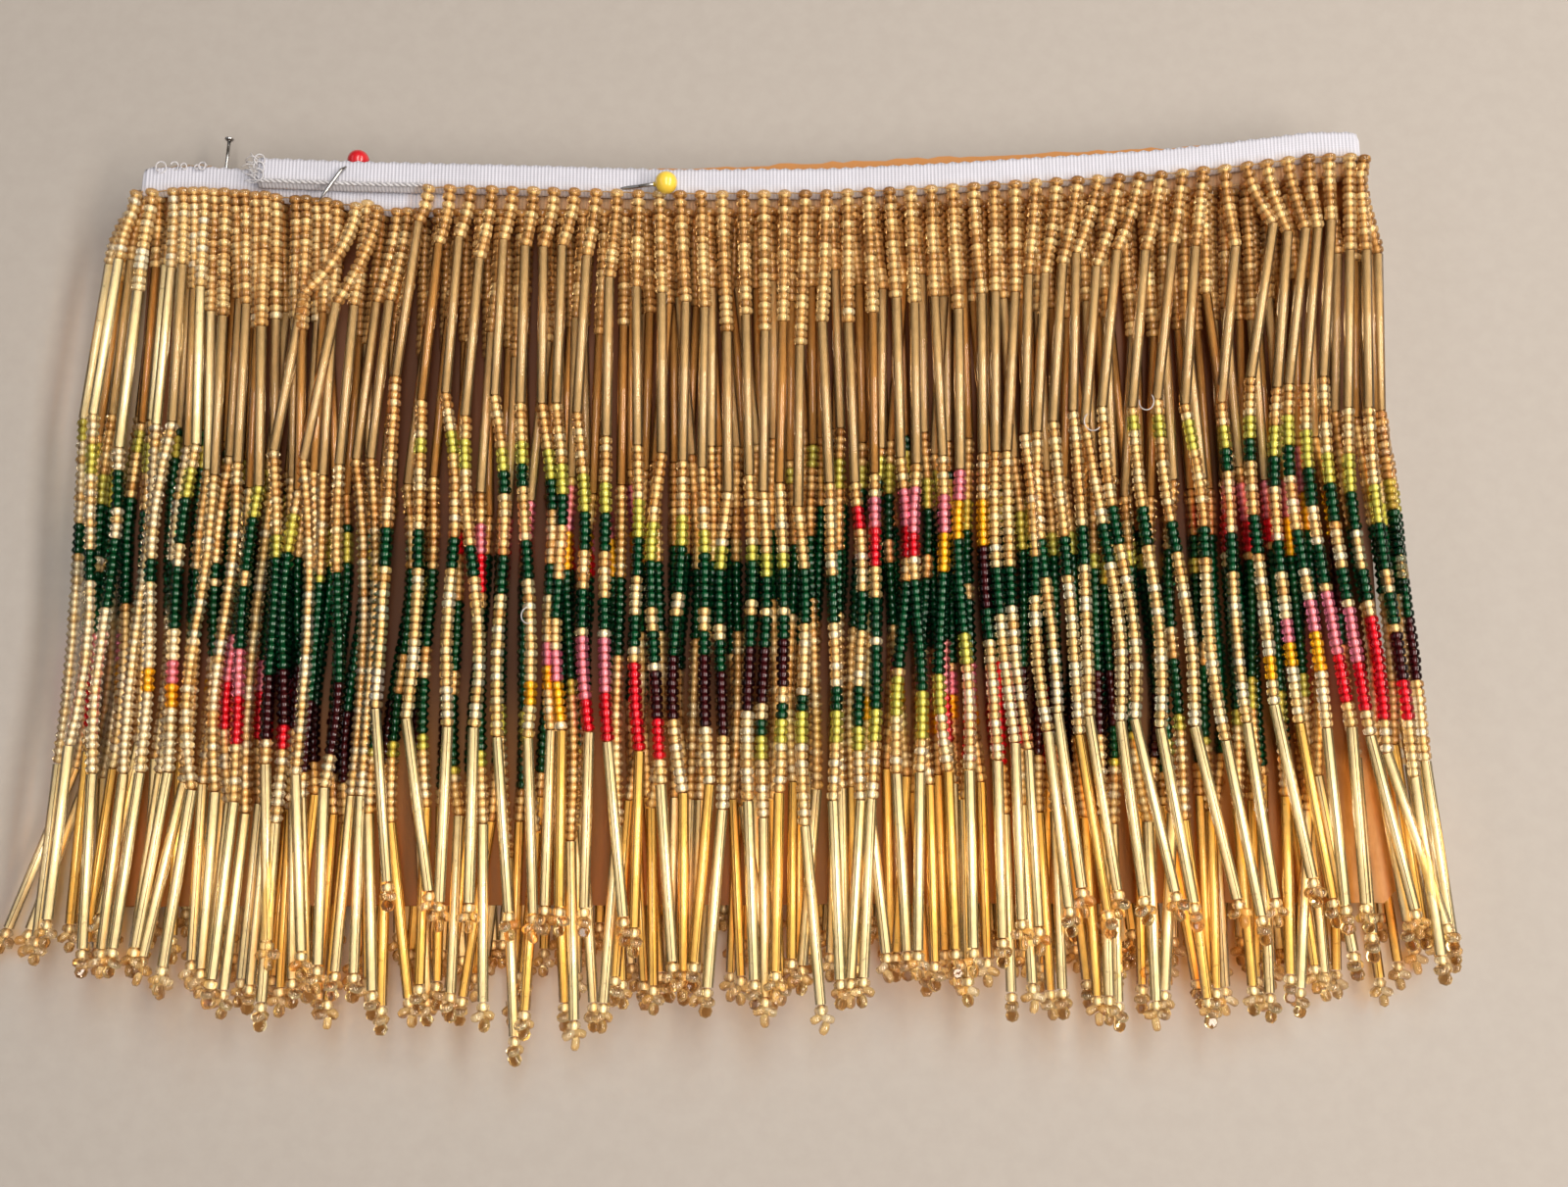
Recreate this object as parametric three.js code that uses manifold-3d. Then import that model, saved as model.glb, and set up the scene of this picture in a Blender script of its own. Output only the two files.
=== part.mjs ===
// A length of beaded lampshade fringe wound two and a half turns round a flat card.
// Millimetres. X runs along the card, Y from the strand tips up to the tape, Z up from the table.
import * as THREE from "three";
import Module from "manifold-3d";

const wasm = await Module();
wasm.setup();

// Card: a hand-cut board whose top edge slants.
const cardHalfLength = 112.3;
const cardBottom = -70;
const cardTopLeft = 63.2;
const cardTopRight = 71.6;
const cardUnderside = 4.6;
const cardThickness = 3;
const cardCornerCut = 2.2;

// Tape and the strip that the strand roots share.
const tapeHeight = 5.4;
const tapeThickness = 1;
const rootGap = 0.3;
const stripHeight = 1.5;
const stripThickness = 2;
const turnX = 112.5;

// Strands: a square section, a little thinner than the beads.
const strandPitch = 3.8;
const strandWidth = 1.9;
const turnStrandWidth = 1.75;
const beadPitch = 1.4;
const bugleLength = 30.2;
const tipLength = 5.4;
const closestStrands = 2.4;
const waveLength = 146;

// The five courses of the winding, from the loose outer end inwards. dir is +1 on the front and -1 on
// the back. Each course is a straight run at height z and, but for the last, a half turn of radius r about
// height axis. The strands that curls marks bend once more among their top beads.
const courses = [
  {
    name: "front_outer", dir: 1, from: -60.3, tapeFrom: -90.7, to: turnX, z: 13.5, r: 6.25, axis: 7.25,
    curls: true,
  },
  { name: "back_outer", dir: -1, from: turnX, to: -turnX, z: 1, r: 5.1, axis: 6.1 },
  { name: "front_middle", dir: 1, from: -turnX, to: turnX, z: 11.2, r: 3.95, axis: 7.25, curls: true },
  { name: "back_inner", dir: -1, from: turnX, to: -turnX, z: 3.3, r: 2.8, axis: 6.1 },
  { name: "front_inner", dir: 1, from: -turnX, to: 100, z: 8.9, r: 0, axis: 0 },
];

// Height of the tape's top edge along each course, by x.
const tapeTop = {
  front_outer: [
    [-91, 66.7], [-72, 65.8], [-47, 65], [-14, 63.7], [14, 63.6], [32, 64.3], [49, 65.2], [75, 66.7],
    [87, 67.9], [104, 70], [112, 70],
  ],
  back_outer: [[-112, 66], [112, 70]],
  front_middle: [
    [-112, 66], [-103, 66.2], [-95, 65.6], [-80, 63.9], [-66, 61.8], [-40, 60.8], [0, 60.3], [40, 60.7],
    [80, 61.6], [112, 63],
  ],
  back_inner: [[-112, 67.2], [112, 63]],
  front_inner: [[-112, 67.2], [-103, 67.6], [-88, 65.2], [-60, 62], [0, 61.2], [60, 62], [100, 63]],
};

// How many beads lie above the first bugle and between the two bugles, by x, where the photo shows them.
const topBeads = {
  front_outer: [
    [-60, 7], [-41, 8.6], [-27, 9.4], [-18, 13.6], [-6, 18.6], [24, 18.8], [34, 15.4], [44, 14.4],
    [56, 12.6], [72, 12], [86, 10.6], [94, 9], [104, 10.4], [112, 12.4],
  ],
  front_middle: [
    [-112, 11], [-104, 12.8], [-96, 17], [-84, 17.2], [-76, 18], [-70, 15], [-60, 15.5], [-40, 18],
    [-10, 12], [20, 10], [50, 15], [70, 18.5], [95, 17], [112, 11],
  ],
};
const midBeads = {
  front_outer: [[-60, 43], [-20, 40], [30, 39], [58, 38.5], [83, 41], [108, 45.5]],
  front_middle: [[-112, 43], [-80, 41], [0, 44], [112, 43]],
};

// Sideways fall of the strands by the x of their root: at the first bugle's top and foot, at the second
// bugle's top and at its foot.
const fall = {
  front_outer: [
    [-60, -1.9, -5, -6, -3], [-50, -2.3, -3.2, -1.5, 0], [-40, -2, -1.4, 0.5, 3],
    [-29, -2.2, -2.6, 0, 2], [-19, 0.2, 0, 1, 2], [-8, 1.2, 1.6, 1, 0.5], [0, 1, 1.2, 0, 0.6],
    [10, -1.2, -1.4, -0.5, -1.2], [20, 0.5, 0.4, 0, 0], [31, 0.7, 0.9, 0.5, -0.6],
    [40, 0.9, 0.4, 1, 0.5], [48, -0.4, -1.6, 0, 0.8], [55, -2.4, -4.2, -2, 0],
    [65, -4.4, -6.4, -4.5, -2.5], [72, -4.8, -8.4, -5.5, -3.2], [79, -2.9, -6.2, -3.5, -1],
    [86, -1.4, -4.4, -1.5, 0.4], [90, 5, -0.7, 0.6, 2], [95, 4, -1, 0.4, 3], [101, 2.2, -2.6, 0.2, 3.4],
    [108, 0, -3.2, 0.4, 3], [113, -1.2, -3.6, 0.6, 3],
  ],
  back_outer: [
    [-112, -1.5, -3, -4, -5], [-100, 0, -0.6, -1, -1.6], [-60, 0.5, 1, -1, 0], [-20, -0.6, 0, 1.5, 1],
    [30, 0.6, -0.4, -1, 0.5], [80, 0, 0.8, 1, -1], [112, 0, -0.6, 0.6, 2],
  ],
  front_middle: [
    [-112, -2.4, -5, -5.6, -6.5], [-106, 0.8, 0.6, -1.5, -3.5], [-98, 1.3, 1.8, 0.4, -1.5],
    [-90, 1.3, 3, 1.8, 0.4], [-82, 0.8, 1.4, 0.8, 0], [-76, 0, 0, 0, -1.5], [-65, -5, -8.6, -7, -5],
    [-61, -3, -6, -4.6, -3], [-55, 0, -2.6, -2.2, 0], [-40, 0.8, 1, 2, 2.6], [-22, 0, -1, -0.6, -1],
    [0, -0.6, 0.8, 1, 2], [22, 0.8, 0, -1.6, -2.5], [45, -0.4, 1, 1.4, 0.8], [66, 0.8, -0.8, -1, -2],
    [84, -0.8, 1.2, 0.4, 1.5], [102, 0, -1, 0.8, 1.6], [112, 0, -1, 0.6, 2.2],
  ],
  back_inner: [
    [-112, -1, -2, -2.4, -3.4], [-84, 0.8, 1.2, 0.4, 1.6], [-48, -0.8, 0, -1.2, -2],
    [-8, 0.4, -0.8, 1, 2], [34, 0, 0.8, -0.6, -1.6], [76, -0.6, -1, 0.8, 0.6], [112, 0, -0.6, 0.6, 1.8],
  ],
  front_inner: [
    [-112, -1, -2, -2.4, -3], [-92, 0.8, 1.6, 1, 2.4], [-70, -0.6, -1, -1.4, -2.6],
    [-46, 0.6, 1.2, 0, -1], [-20, -0.8, -0.4, 1.4, 2.4], [8, 0.4, 1, -1, -2.2], [36, 0, -1, 0.8, 1.8],
    [62, 0.8, 0.8, -0.6, -1.4], [100, -0.6, 0.6, 1, 2.6],
  ],
};

// The fall of all the strands on a half turn, left and right: columns as above.
const turnFall = {
  front_outer: [-0.5, -1, 0.8, 2.5],
  back_outer: [-2.2, -4.8, -4.6, -6],
  front_middle: [-0.5, -1, 0.8, 2.5],
  back_inner: [-1, -2.4, -2.5, -3.2],
};

// Single strands that cross their neighbours or splay out: the fall and the height at the same four places.
const strays = [
  { course: "front_middle", slot: 10, dx: [-8.6, -12.6, -11, -9], z: [13.5, 13.5, 13.5, 13.5] },
  { course: "front_middle", slot: 11, dx: [-6.4, -11, -9.5, -7], z: [13.5, 13.5, 13.5, 13.5] },
  { course: "back_outer", slot: 59, dx: [-1.6, -3.2, -3.6, -12.5], z: [1, 0.95, 0.95, 0.95] },
  { course: "back_outer", slot: 60, dx: [-2, -3.8, -3.4, -13.4], z: [3.4, 3.2, 3.2, 2.9] },
];

// Pins.
const pinRadius = 0.35;
const pinClearance = 0.3;
const ballRadius = 2.05;
const pinYellow = { head: [-14.6, 59.9, 16.4], tip: [-44, 60.6, 6.2] };
const pinRed = { head: [-72.8, 67.2, 11], bend: [-74.9, 63.6, 14.7], tip: [-79, 57.3, 14.6] };
const pinPlain = { head: [-99.1, 74.4, 6.1], tip: [-100.2, 50, 6.1], headRadius: 0.9, headThickness: 0.5 };

// A number from 0 to 1 that depends only on n and k.
function hash(n, k) {
  const v = Math.sin(n * 12.9898 + k * 78.233) * 43758.5453;
  return v - Math.floor(v);
}

// The value in the column of a table whose first column is x, read between its rows.
function lookUp(table, x, column = 1) {
  if (x <= table[0][0]) return table[0][column];
  for (let i = 1; i < table.length; i++) {
    if (x > table[i][0]) continue;
    const share = (x - table[i - 1][0]) / (table[i][0] - table[i - 1][0]);
    return table[i - 1][column] + share * (table[i][column] - table[i - 1][column]);
  }
  return table[table.length - 1][column];
}

function runLength(course) {
  return Math.abs(course.to - course.from);
}

function courseLength(course) {
  return runLength(course) + Math.PI * course.r;
}

// The point at distance d along a course, with the outward normal, in the XZ plane.
function onCourse(course, d) {
  const run = runLength(course);
  const tapeEdge = lookUp(tapeTop[course.name], course.from + course.dir * Math.min(d, run));
  if (d <= run) {
    return { x: course.from + course.dir * d, z: course.z, nx: 0, nz: course.dir, top: tapeEdge };
  }
  const angle = (d - run) / course.r;
  const nx = course.dir * Math.sin(angle);
  const nz = course.dir * Math.cos(angle);
  return { x: course.to + course.r * nx, z: course.axis + course.r * nz, nx, nz, top: tapeEdge };
}

// Distances along a course at which a ribbon bends: table rows, then steps round the turn.
function stationsOf(course, start, end) {
  const run = runLength(course);
  const found = [start];
  for (const [x] of tapeTop[course.name]) found.push((x - course.from) * course.dir);
  const steps = 12;
  for (let i = 0; i <= steps && course.r > 0; i++) found.push(run + (Math.PI * course.r * i) / steps);
  found.push(end);
  found.sort((a, b) => a - b);
  const inside = found.filter((d) => d >= start && d <= end);
  return inside.filter((d, i) => i === 0 || d - inside[i - 1] > 0.4);
}

function solidFrom(points, triangles) {
  return new wasm.Manifold(new wasm.Mesh({
    numProp: 3,
    vertProperties: new Float32Array(points.flat()),
    triVerts: new Uint32Array(triangles.flat()),
  }));
}

// A solid through rings of four corners each, closed at both ends.
function throughRings(rings) {
  const triangles = [];
  for (let i = 0; i + 1 < rings.length; i++) {
    for (let j = 0; j < 4; j++) {
      const a = 4 * i + j;
      const b = 4 * i + ((j + 1) % 4);
      triangles.push([a, b, b + 4], [a, b + 4, a + 4]);
    }
  }
  const last = 4 * (rings.length - 1);
  triangles.push([0, 2, 1], [0, 3, 2], [last, last + 1, last + 2], [last, last + 2, last + 3]);
  const solid = solidFrom(rings.flat(), triangles);
  if (solid.volume() > 0) return solid;
  return solidFrom(rings.flat(), triangles.map(([a, b, c]) => [a, c, b]));
}

// The four corners of a ribbon's section at a point of the winding, below and above in Y.
function ribbonRing(at, halfThickness, low, high) {
  return [[low, -1], [low, 1], [high, 1], [high, -1]].map(([y, side]) => [
    at.x + side * halfThickness * at.nx,
    y,
    at.z + side * halfThickness * at.nz,
  ]);
}

function makeTape() {
  const rings = [];
  courses.forEach((course, index) => {
    const start = index === 0 ? (course.tapeFrom - course.from) * course.dir : 0.5;
    const end = courseLength(course) - (index === courses.length - 1 ? 0 : 0.5);
    for (const d of stationsOf(course, start, end)) {
      const at = onCourse(course, d);
      rings.push(ribbonRing(at, tapeThickness / 2, at.top - tapeHeight, at.top));
    }
  });
  return throughRings(rings);
}

function makeStrip(course) {
  const start = course === courses[0] ? 0.2 : 0.15;
  const rings = stationsOf(course, start, courseLength(course) - 0.15).map((d) => {
    const at = onCourse(course, d);
    const high = at.top - tapeHeight - rootGap;
    return ribbonRing(at, stripThickness / 2, high - stripHeight, high);
  });
  return throughRings(rings);
}

// Everything that is chosen strand by strand: its root, its counts of beads and the fall at four places.
function layOut(course, index) {
  const length = courseLength(course);
  const count = Math.floor(length / strandPitch);
  const offset = courses.slice(0, index).reduce((sum, c) => sum + courseLength(c), 0);
  const strands = [];
  for (let slot = 0; slot < count; slot++) {
    const d = ((slot + 0.5) * length) / count;
    const at = onCourse(course, d);
    const seed = 100 * index + slot;
    const onTurn = d > runLength(course);
    const phase = (2 * Math.PI * (offset + d - 12)) / waveLength;
    const top = topBeads[course.name];
    const mid = midBeads[course.name];
    const topCount = (top ? lookUp(top, at.x) : 14 - 5 * Math.cos(phase)) + 1.8 * (hash(seed, 1) - 0.5);
    const midCount = (mid ? lookUp(mid, at.x) : 42 + 2.5 * Math.cos(phase)) + 3 * (hash(seed, 2) - 0.5);
    const dx = [0, 1, 2, 3].map((k) => {
      if (onTurn) return turnFall[course.name][k];
      return lookUp(fall[course.name], at.x, k + 1) + 0.9 * (hash(seed, 3 + k) - 0.5);
    });
    const stray = strays.find((s) => s.course === course.name && s.slot === slot);
    const flat = course.name === "back_outer" && !onTurn ? [0.95, 0.95, 0.95, 0.95] : null;
    strands.push({
      at,
      onTurn,
      stray: Boolean(stray),
      curls: course.curls,
      topCount: Math.round(topCount),
      midCount: Math.round(midCount),
      x: (stray ? stray.dx : dx).map((v) => at.x + v),
      z: stray ? stray.z : flat || [at.z, at.z, at.z, at.z],
    });
  }
  keepApart(strands.filter((s) => !s.onTurn && !s.stray), course.dir);
  return strands;
}

// Spreads neighbours on a run that have come too close at any of the four places.
function keepApart(strands, dir) {
  for (let k = 0; k < 4; k++) {
    for (let pass = 0; pass < 40; pass++) {
      for (let i = 1; i < strands.length; i++) {
        const gap = dir * (strands[i].x[k] - strands[i - 1].x[k]);
        if (gap >= closestStrands) continue;
        const push = (dir * (closestStrands - gap)) / 2;
        strands[i].x[k] += push;
        strands[i - 1].x[k] -= push;
      }
    }
  }
}

// The bends of a strand as [x, y, z], each reached along the true length of the thread between them.
function pathOf(strand) {
  const topLength = beadPitch * strand.topCount - 0.8;
  const midLength = beadPitch * strand.midCount;
  const root = strand.at;
  const rootY = root.top - tapeHeight;
  const [x1, x2, x3, x4] = strand.x;
  const [z1, z2, z3, z4] = strand.z;
  const wide = (bugleLength + tipLength) / bugleLength;
  const [share, rise] = strand.stray ? [0.2, 1] : [0.38, 0.5];
  const curl = {
    x: root.x + share * (x1 - root.x),
    z: root.z + rise * (z1 - root.z),
    length: topLength / 2,
  };
  const steps = [
    ...(strand.curls ? [curl] : []),
    { x: x1, z: z1, length: strand.curls ? topLength / 2 : topLength },
    { x: x2, z: z2, length: bugleLength },
    { x: (x2 + x3) / 2, z: (z2 + z3) / 2, length: midLength / 2 },
    { x: x3, z: z3, length: midLength / 2 },
    { x: x3 + wide * (x4 - x3), z: z3 + wide * (z4 - z3), length: bugleLength + tipLength },
  ];
  const points = [[root.x, rootY, root.z]];
  for (const step of steps) {
    const [x, y, z] = points[points.length - 1];
    const across = Math.hypot(step.x - x, step.z - z);
    points.push([step.x, y - Math.sqrt(step.length ** 2 - across ** 2), step.z]);
  }
  points[0][1] = rootY - rootGap - stripHeight / 2;
  return points;
}

// A strand's solid: its square section keeps the way round that it has at the root, or lies level on a
// stray.
function makeStrand(strand) {
  const half = (strand.onTurn ? turnStrandWidth : strandWidth) / 2;
  const { nx, nz } = strand.stray ? { nx: 0, nz: 1 } : strand.at;
  const rings = pathOf(strand).map(([x, y, z]) =>
    [[-1, -1], [-1, 1], [1, 1], [1, -1]].map(([u, v]) => [
      x + half * (u * nz + v * nx),
      y,
      z + half * (v * nz - u * nx),
    ]));
  return throughRings(rings);
}

function makeFringe(course, index) {
  const strands = layOut(course, index).map(makeStrand);
  return wasm.Manifold.union([makeStrip(course), ...strands]);
}

function makeCard() {
  const left = -cardHalfLength;
  const right = cardHalfLength;
  const cut = cardCornerCut;
  const outline = [
    [left + cut, cardBottom], [right - cut, cardBottom],
    [right, cardBottom + cut], [right, cardTopRight - cut],
    [right - cut, cardTopRight], [left + cut, cardTopLeft],
    [left, cardTopLeft - cut], [left, cardBottom + cut],
  ];
  return new wasm.CrossSection([outline]).extrude(cardThickness).translate([0, 0, cardUnderside]);
}

// A round bar between two points.
function bar(from, to, radius, sides = 10) {
  const start = new THREE.Vector3(...from);
  const axis = new THREE.Vector3(...to).sub(start);
  const up = new THREE.Vector3(0, 0, 1);
  const turn = new THREE.Quaternion().setFromUnitVectors(up, axis.clone().normalize());
  const matrix = new THREE.Matrix4().compose(start, turn, new THREE.Vector3(1, 1, 1));
  return wasm.Manifold.cylinder(axis.length(), radius, radius, sides).transform(matrix.elements);
}

function ball(centre, radius) {
  return wasm.Manifold.sphere(radius, 16).translate(centre);
}

// Each pin's solid, or the larger one that clears it, through its listed points.
function pinSolid(pin, spare = 0) {
  const bends = [pin.head, ...(pin.bend ? [pin.bend] : []), pin.tip];
  const parts = [];
  for (let i = 1; i < bends.length; i++) parts.push(bar(bends[i - 1], bends[i], pinRadius + spare));
  if (pin.bend) parts.push(ball(pin.bend, pinRadius + spare));
  if (pin.headRadius) {
    const direction = new THREE.Vector3(...pin.tip).sub(new THREE.Vector3(...pin.head)).normalize();
    const under = new THREE.Vector3(...pin.head).addScaledVector(direction, pin.headThickness).toArray();
    parts.push(bar(pin.head, under, pin.headRadius + spare, 16));
  } else {
    parts.push(ball(pin.head, ballRadius + spare));
  }
  return wasm.Manifold.union(parts);
}

function meshOf(name, solid, color) {
  const data = solid.getMesh();
  const geometry = new THREE.BufferGeometry();
  const positions = new Float32Array(data.numVert * 3);
  for (let i = 0; i < data.numVert; i++) {
    positions.set(data.vertProperties.subarray(i * data.numProp, i * data.numProp + 3), i * 3);
  }
  geometry.setAttribute("position", new THREE.BufferAttribute(positions, 3));
  geometry.setIndex(new THREE.BufferAttribute(data.triVerts, 1));
  geometry.computeVertexNormals();
  const mesh = new THREE.Mesh(geometry, new THREE.MeshStandardMaterial({ color, roughness: 0.6 }));
  mesh.name = name;
  return mesh;
}

const pins = [pinYellow, pinRed, pinPlain];
const pinRoom = wasm.Manifold.union(pins.map((pin) => pinSolid(pin, pinClearance)));

const group = new THREE.Group();
group.add(meshOf("card", makeCard().subtract(pinRoom), 0xb07a4a));
group.add(meshOf("header_tape", makeTape().subtract(pinRoom), 0xf2f2f5));
courses.forEach((course, index) => {
  group.add(meshOf(`fringe_${course.name}`, makeFringe(course, index).subtract(pinRoom), 0xc9a24e));
});
group.add(meshOf("pin_yellow", pinSolid(pinYellow), 0xf2cf45));
group.add(meshOf("pin_red", pinSolid(pinRed), 0xc61a22));
group.add(meshOf("pin_plain", pinSolid(pinPlain), 0xb8babd));

// The origin is the middle of the underside of the whole.
const box = new THREE.Box3().setFromObject(group);
group.position.set(-(box.min.x + box.max.x) / 2, -(box.min.y + box.max.y) / 2, -box.min.z);
group.updateMatrixWorld(true);

export default group;
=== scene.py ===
import math
from types import SimpleNamespace as Record

import bmesh
import bpy
from mathutils import Matrix, Vector


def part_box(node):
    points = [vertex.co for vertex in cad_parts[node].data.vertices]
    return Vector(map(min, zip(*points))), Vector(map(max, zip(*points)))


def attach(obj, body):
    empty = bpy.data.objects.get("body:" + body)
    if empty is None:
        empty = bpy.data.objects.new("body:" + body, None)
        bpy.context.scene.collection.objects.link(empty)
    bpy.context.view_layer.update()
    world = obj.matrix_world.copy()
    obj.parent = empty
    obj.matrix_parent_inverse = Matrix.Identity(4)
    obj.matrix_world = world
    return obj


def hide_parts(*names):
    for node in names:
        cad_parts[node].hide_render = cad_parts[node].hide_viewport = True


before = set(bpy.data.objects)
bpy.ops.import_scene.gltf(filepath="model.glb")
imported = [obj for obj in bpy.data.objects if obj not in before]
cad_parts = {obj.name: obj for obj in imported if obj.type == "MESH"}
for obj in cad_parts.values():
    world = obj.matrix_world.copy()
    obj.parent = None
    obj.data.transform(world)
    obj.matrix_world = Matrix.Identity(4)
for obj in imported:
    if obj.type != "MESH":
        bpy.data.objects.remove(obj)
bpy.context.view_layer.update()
print("frame loaded")

mm = 0.001
cardLow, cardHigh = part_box("card")

# The layout below is in card millimetres: X from the card's middle, Y from the board's middle, Z from the table.
card = {
    "halfLength": 112.3, "bottom": -70, "topLeft": 63.2, "topRight": 71.6, "underside": 4.6,
    "thickness": 3, "cornerCut": 2.2,
}
shift = Vector((
    cardLow.x / mm + card["halfLength"],
    cardLow.y / mm - card["bottom"],
    cardLow.z / mm - card["underside"],
))


def place(point):
    return (Vector(point) + shift) * mm


def hash01(n, k):
    v = math.sin(n * 12.9898 + k * 78.233) * 43758.5453
    return v - math.floor(v)


# The same, from -0.5 to 0.5.
def swing(n, k):
    return hash01(n, k) - 0.5


def lookUp(rows, x, column=1):
    if x <= rows[0][0]:
        return rows[0][column]
    for before, after in zip(rows, rows[1:]):
        if x <= after[0]:
            share = (x - before[0]) / (after[0] - before[0])
            return before[column] + share * (after[column] - before[column])
    return rows[-1][column]


# ---- the winding: five courses of one tape, from the loose outer end inwards

strand = {
    "pitch": 3.8, "beadPitch": 1.4, "bugleLength": 30.2, "tipLength": 5.4, "closest": 2.4,
    "wave": 146, "lowestBack": 1.5,
    # beyond these two the top beads hug the card's ends
    "leftEnd": -106, "rightEnd": 114, "endShare": 0.85,
}
tape = {
    "start": -90.7, "height": 5.4, "thickness": 0.7, "edgeShare": 0.55, "tuck": 1.1,
    "tuckReach": 0.3, "ripple": 0.12, "turnDrop": 1.3, "tightness": 0.18, "step": 1.1, "rows": 9,
}
turnX = 112.5
# amber: how far clear beads and bugles deepen, a little at random and mostly as painted shade in the courses beneath;
# wider: beads by which green and maroon runs spread there, also painted shade
courseFields = ("name", "amber", "wider", "dir", "start", "end", "z", "r", "axis", "curls", "chartShift")
courses = [Record(**dict(zip(courseFields, row))) for row in (
    ("front_outer", 0.12, 0, 1, -60.3, turnX, 13.5, 6.25, 7.25, True, 0),
    ("back_outer", 0.1, 0, -1, turnX, -turnX, 1, 5.1, 6.1, False, 9),
    ("front_middle", 0.4, 2, 1, -turnX, turnX, 11.2, 3.95, 7.25, True, 4),
    ("back_inner", 0.5, 2, -1, turnX, -turnX, 3.3, 2.8, 6.1, False, 17),
    ("front_inner", 0.85, 5, 1, -turnX, 100, 8.9, 0, 0, False, 2),
)]
tapeTop = {
    "front_outer": [
        (-91, 66.7), (-72, 65.8), (-47, 65), (-14, 63.7), (14, 63.6), (32, 64.3), (49, 65.2), (75, 66.7),
        (87, 67.9), (104, 70), (112, 70),
    ],
    "back_outer": [(-112, 66), (112, 70)],
    "front_middle": [
        (-112, 66), (-103, 66.2), (-95, 65.6), (-80, 63.9), (-66, 61.8), (-40, 61.2), (0, 61.2), (40, 62.6),
        (80, 64.6), (112, 67.4),
    ],
    "back_inner": [(-112, 67.2), (112, 67.4)],
    "front_inner": [(-112, 67.2), (-103, 67.6), (-88, 65.2), (-60, 62), (0, 61.8), (60, 63.4), (100, 66)],
}
topBeads = {
    "front_outer": [
        (-60, 7), (-41, 8.6), (-27, 9.4), (-18, 13.6), (-6, 18.6), (24, 18.8), (34, 15.4), (44, 14.4),
        (56, 12.6), (72, 12), (86, 10.6), (94, 9), (104, 10.4), (112, 12.4),
    ],
    "front_middle": [
        (-112, 11), (-104, 12.8), (-96, 17), (-84, 17.2), (-76, 18), (-70, 15), (-60, 15.5), (-40, 18),
        (-10, 12), (20, 10), (50, 15), (70, 18.5), (95, 17), (112, 11),
    ],
}
midBeads = {
    "front_outer": [(-60, 43), (-20, 40), (30, 39), (58, 38.5), (83, 41), (108, 45.5)],
    "front_middle": [(-112, 43), (-80, 41), (0, 44), (112, 43)],
}
# Sideways fall by the x of the root: at each bugle's top and foot.
fall = {
    "front_outer": [
        (-60, -1.9, -5, -6, -3), (-50, -2.3, -3.2, -1.5, 0), (-40, -2, -1.4, 0.5, 3),
        (-29, -2.2, -2.6, 0, 2), (-19, 0.2, 0, 1, 2), (-8, 1.2, 1.6, 1, 0.5), (0, 1, 1.2, 0, 0.6),
        (10, -1.2, -1.4, -0.5, -1.2), (20, 0.5, 0.4, 0, 0), (31, 0.7, 0.9, 0.5, -0.6),
        (40, 0.9, 0.4, 1, 0.5), (48, -0.4, -1.6, 0, 0.8), (55, -2.4, -4.2, -2, 0),
        (65, -4.4, -6.4, -4.5, -2.5), (72, -4.8, -8.4, -5.5, -3.2), (79, -2.9, -6.2, -3.5, -1),
        (86, -1.4, -4.4, -1.5, -1.4), (90, 5, -0.7, 0.6, 0.4), (95, 4, -1, 0.4, 1.2), (101, 2.2, -2.6, 0.2, 1.2),
        (108, 0, -3.2, 0.4, 2.4), (113, -1.2, -3.6, 0.6, 2.6),
    ],
    "back_outer": [
        (-112, -1.5, -3, -4, -5), (-100, 0, -0.6, -1, -1.6), (-60, 0.5, 1, -1, 0), (-20, -0.6, 0, 1.5, 1),
        (30, 0.6, -0.4, -1, 0.5), (80, 0, 0.8, 1, -1), (112, 0, -0.6, 0.6, 2),
    ],
    "front_middle": [
        (-112, -2.4, -5, -5.6, -6.5), (-106, 0.8, 0.6, -1.5, -3.5), (-98, 1.3, 1.8, 0.4, -1.5),
        (-90, 1.3, 3, 1.8, 0.4), (-82, 0.8, 1.4, 0.8, 0), (-76, 0, 0, 0, -1.5), (-66, -3.6, -6, -5, -4),
        (-59, -2.2, -4.4, -3.6, -2.6), (-50, -1, -2.4, -1.8, -1), (-40, 0.4, 0, 0.6, 1.6), (-22, 0, -1, -0.6, -1),
        (0, -0.6, 0.8, 1, 2), (22, 0.8, 0, -1.6, -2.5), (45, -0.4, 1, 1.4, 0.8), (66, 0.8, -0.8, -1, -2),
        (84, -0.8, 1.2, 0.4, 1.5), (102, 0, -1, 0.8, 1.6), (112, 0, -1, 0.6, 2.2),
    ],
    "back_inner": [
        (-112, -1, -2, -2.4, -3.4), (-84, 0.8, 1.2, 0.4, 1.6), (-48, -0.8, 0, -1.2, -2),
        (-8, 0.4, -0.8, 1, 2), (34, 0, 0.8, -0.6, -1.6), (76, -0.6, -1, 0.8, 0.6), (112, 0, -0.6, 0.6, 1.8),
    ],
    "front_inner": [
        (-112, -1, -2, -2.4, -3), (-92, 0.8, 1.6, 1, 2.4), (-70, -0.6, -1, -1.4, -2.6),
        (-46, 0.6, 1.2, 0, -1), (-20, -0.8, -0.4, 1.4, 2.4), (8, 0.4, 1, -1, -2.2), (36, 0, -1, 0.8, 1.8),
        (62, 0.8, 0.8, -0.6, -1.4), (100, -0.6, 0.6, 1, 2.6),
    ],
}
turnFall = {
    "front_outer": (-1.6, -3.2, 0.2, 2.5),
    "back_outer": (-2.2, -4.8, -4.6, -6),
    "front_middle": (-0.5, -1, 0.8, 2.5),
    "back_inner": (-1, -2.4, -2.5, -3.2),
}
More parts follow.
